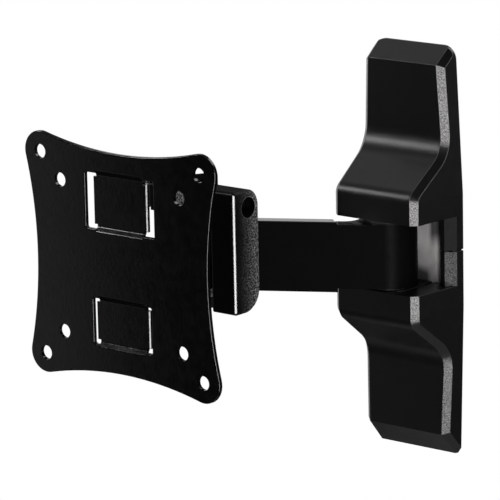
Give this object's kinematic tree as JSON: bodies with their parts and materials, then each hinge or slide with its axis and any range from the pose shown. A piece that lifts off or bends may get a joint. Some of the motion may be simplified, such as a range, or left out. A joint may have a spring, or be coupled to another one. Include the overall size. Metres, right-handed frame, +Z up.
{
  "type": "tv wall mount",
  "caption": "Swing-arm wall mount for a flat screen: a covered wall plate carries a pivoting arm, a swivelling head and a tilting plate with bolt holes.",
  "frame": {"origin": "on the wall plane, at the middle of the seam between the two covers", "axes": "+X to the right along the wall, +Y into the wall, +Z up"},
  "size_m": [0.166, 0.1305, 0.2028],
  "materials": {
    "gloss_black": "gloss black enamel on steel",
    "cast_black": "fine textured black powder coat",
    "satin_black": "satin black paint on aluminium",
    "cover_plastic": "satin black moulded plastic with grained bevels",
    "zinc_steel": "zinc-plated sheet steel",
    "bolt_steel": "black zinc-plated steel hardware",
    "screw_black": "black oxide steel",
    "nylon": "dark nylon"
  },
  "bodies": {
    "wall": {"wall_plate": "zinc_steel", "hinge_bracket": "zinc_steel", "hinge_rivets": "zinc_steel", "upper_cover": "cover_plastic", "lower_cover": "cover_plastic", "wall_pivot_bolt": "bolt_steel", "wall_pivot_nut": "bolt_steel", "wall_pivot_washers": "bolt_steel", "wall_friction_washers": "nylon"},
    "arm": {"arm": "satin_black", "arm_wall_bushes": "nylon", "arm_head_bushes": "nylon"},
    "head": {"swivel_yoke": "cast_black", "head_pivot_bolt": "bolt_steel", "head_pivot_nut": "bolt_steel", "head_pivot_washers": "bolt_steel", "head_friction_washers": "nylon", "tilt_screws": "screw_black", "tilt_friction_washers": "nylon"},
    "screen": {"tilt_bushes": "nylon", "tilt_bracket": "cast_black", "vesa_plate": "gloss_black"}
  },
  "joints": [
    {"name": "arm_swing", "type": "hinge", "parent": "wall", "child": "arm", "pos_m": [0, -0.0233, 0], "axis": [0, 0, 1], "range_deg": [-30, 130]},
    {"name": "head_swivel", "type": "hinge", "parent": "arm", "child": "head", "pos_m": [-0.07838, -0.06855, 0], "axis": [0, 0, 1], "range_deg": [-150, 8]},
    {"name": "tilt", "type": "hinge", "parent": "head", "child": "screen", "pos_m": [-0.07838, -0.08285, 0.02775], "axis": [1, 0, 0], "range_deg": [-15, 15]}
  ]
}
